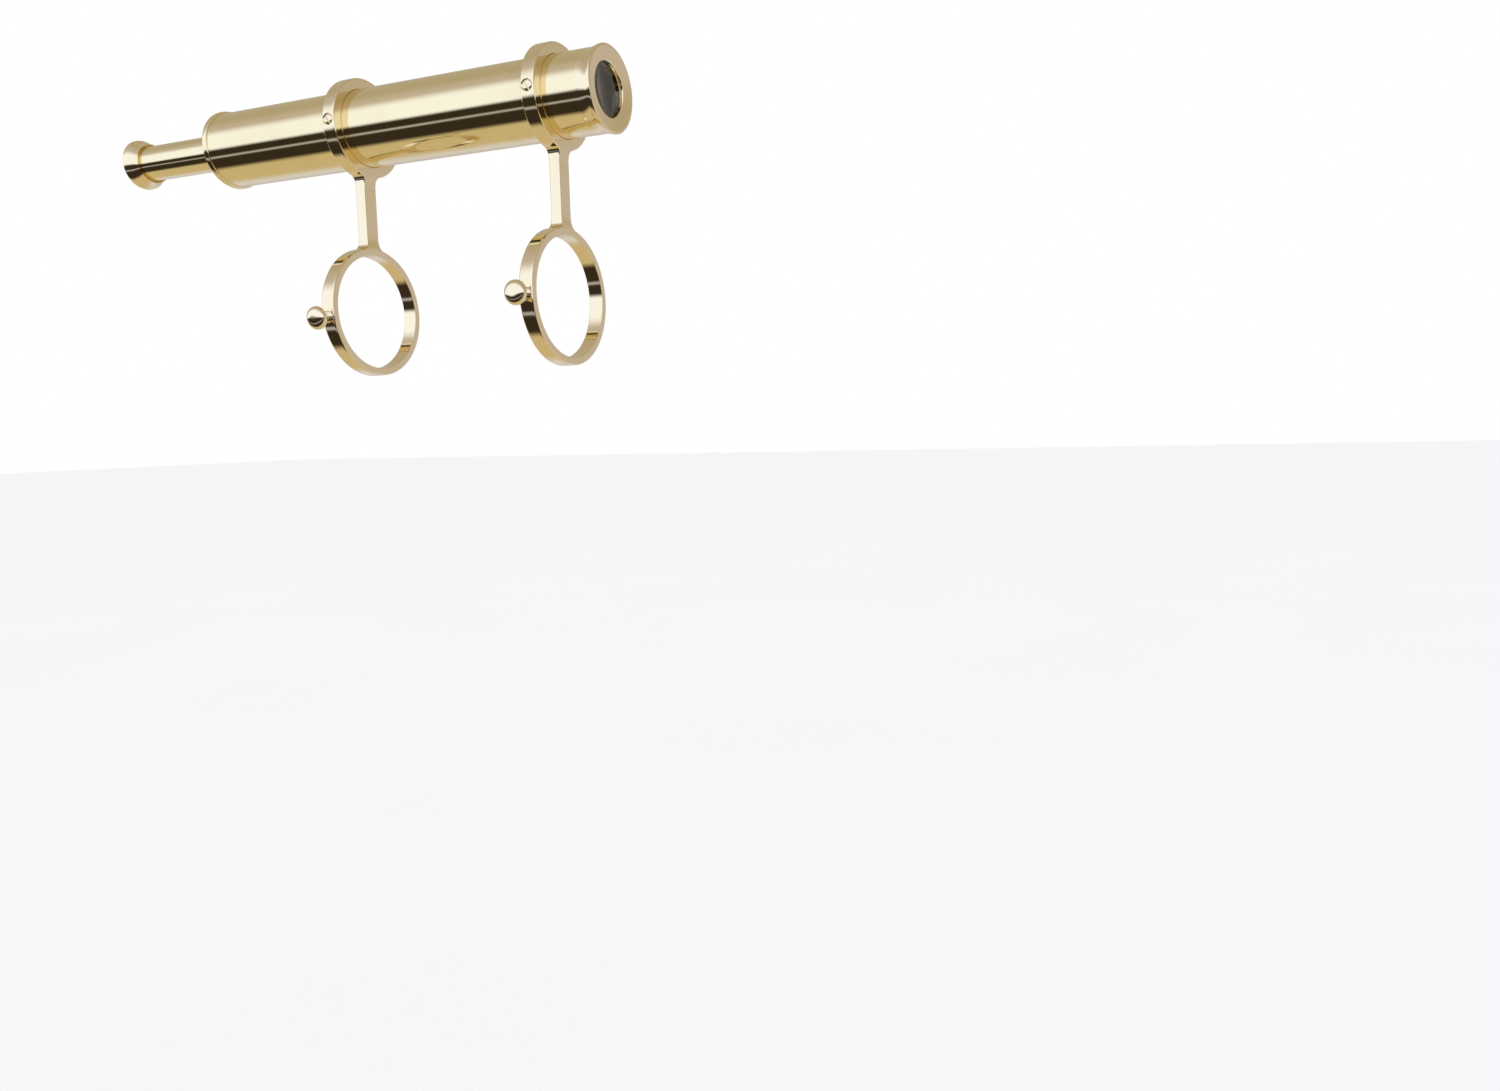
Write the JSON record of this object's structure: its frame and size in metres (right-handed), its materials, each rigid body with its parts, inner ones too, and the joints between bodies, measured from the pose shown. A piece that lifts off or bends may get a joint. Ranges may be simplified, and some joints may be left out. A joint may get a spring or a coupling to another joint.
{
  "type": "finder scope",
  "caption": "Polished brass finder telescope with a sliding draw tube, held by two cast ring brackets that clamp round a larger telescope tube.",
  "frame": {"origin": "centre of the rear bracket's lower ring, on the axis of the telescope tube it clamps", "axes": "+X along the optical axis from eyepiece to objective, +Z from the main tube up to the finder, thumb screws on the -Y side"},
  "size_m": [0.3077, 0.0754, 0.1493],
  "materials": {
    "drawn_brass": "mirror polished yellow brass tube",
    "cast_brass": "hand polished pale cast brass",
    "screw_brass": "polished turned brass",
    "blackened_brass": "matt black lacquer against glare",
    "lens_glass": "polished optical glass",
    "steel_wire": "fine drawn wire",
    "pad_plastic": "natural nylon"
  },
  "bodies": {
    "scope": {"barrel_tube": "drawn_brass", "objective_bezel": "cast_brass", "objective_crown_lens": "lens_glass", "objective_flint_lens": "lens_glass", "objective_retaining_ring": "blackened_brass", "barrel_baffle": "blackened_brass", "rear_end_cap": "drawn_brass", "draw_tube_bush": "drawn_brass", "rear_bracket": "cast_brass", "front_bracket": "cast_brass", "rear_ring_screw": "screw_brass", "front_ring_screw": "screw_brass"},
    "draw": {"draw_tube": "drawn_brass", "draw_stop_ring": "blackened_brass", "erector_cell": "blackened_brass", "erector_front_lens": "lens_glass", "erector_rear_lens": "lens_glass", "erector_lock_rings": "blackened_brass", "erector_stop": "blackened_brass", "reticle_ring": "blackened_brass", "reticle_wires": "steel_wire", "field_lens": "lens_glass", "eyepiece_lock_ring": "blackened_brass", "eyepiece_spacer": "blackened_brass", "eye_lens": "lens_glass", "eyepiece_cap": "cast_brass"},
    "rear_pad": {"rear_clamp_pad": "pad_plastic"},
    "rear_screw": {"rear_thumb_screw": "screw_brass"},
    "front_pad": {"front_clamp_pad": "pad_plastic"},
    "front_screw": {"front_thumb_screw": "screw_brass"}
  },
  "joints": [
    {"name": "focus_slide", "type": "slide", "parent": "scope", "child": "draw", "axis": [1, 0, 0], "range_m": [-0.02, 0.055]},
    {"name": "rear_screw_travel", "type": "slide", "parent": "scope", "child": "rear_pad", "axis": [0, -0.9903, -0.1392], "range_m": [0, 0.003]},
    {"name": "rear_screw_turn", "type": "hinge", "parent": "rear_pad", "child": "rear_screw", "pos_m": [0, -0.03209, -0.00451], "axis": [0, -0.9903, -0.1392], "range_deg": [0, 1090]},
    {"name": "front_screw_travel", "type": "slide", "parent": "scope", "child": "front_pad", "axis": [0, -0.9994, -0.0349], "range_m": [0, 0.003]},
    {"name": "front_screw_turn", "type": "hinge", "parent": "front_pad", "child": "front_screw", "pos_m": [0.1175, -0.03238, -0.00113], "axis": [0, -0.9994, -0.0349], "range_deg": [0, 1090]}
  ],
  "couplings": [
    {"joint": "rear_screw_turn", "follows": "rear_screw_travel", "rad_per_m": 6283.2},
    {"joint": "front_screw_turn", "follows": "front_screw_travel", "rad_per_m": 6283.2}
  ]
}
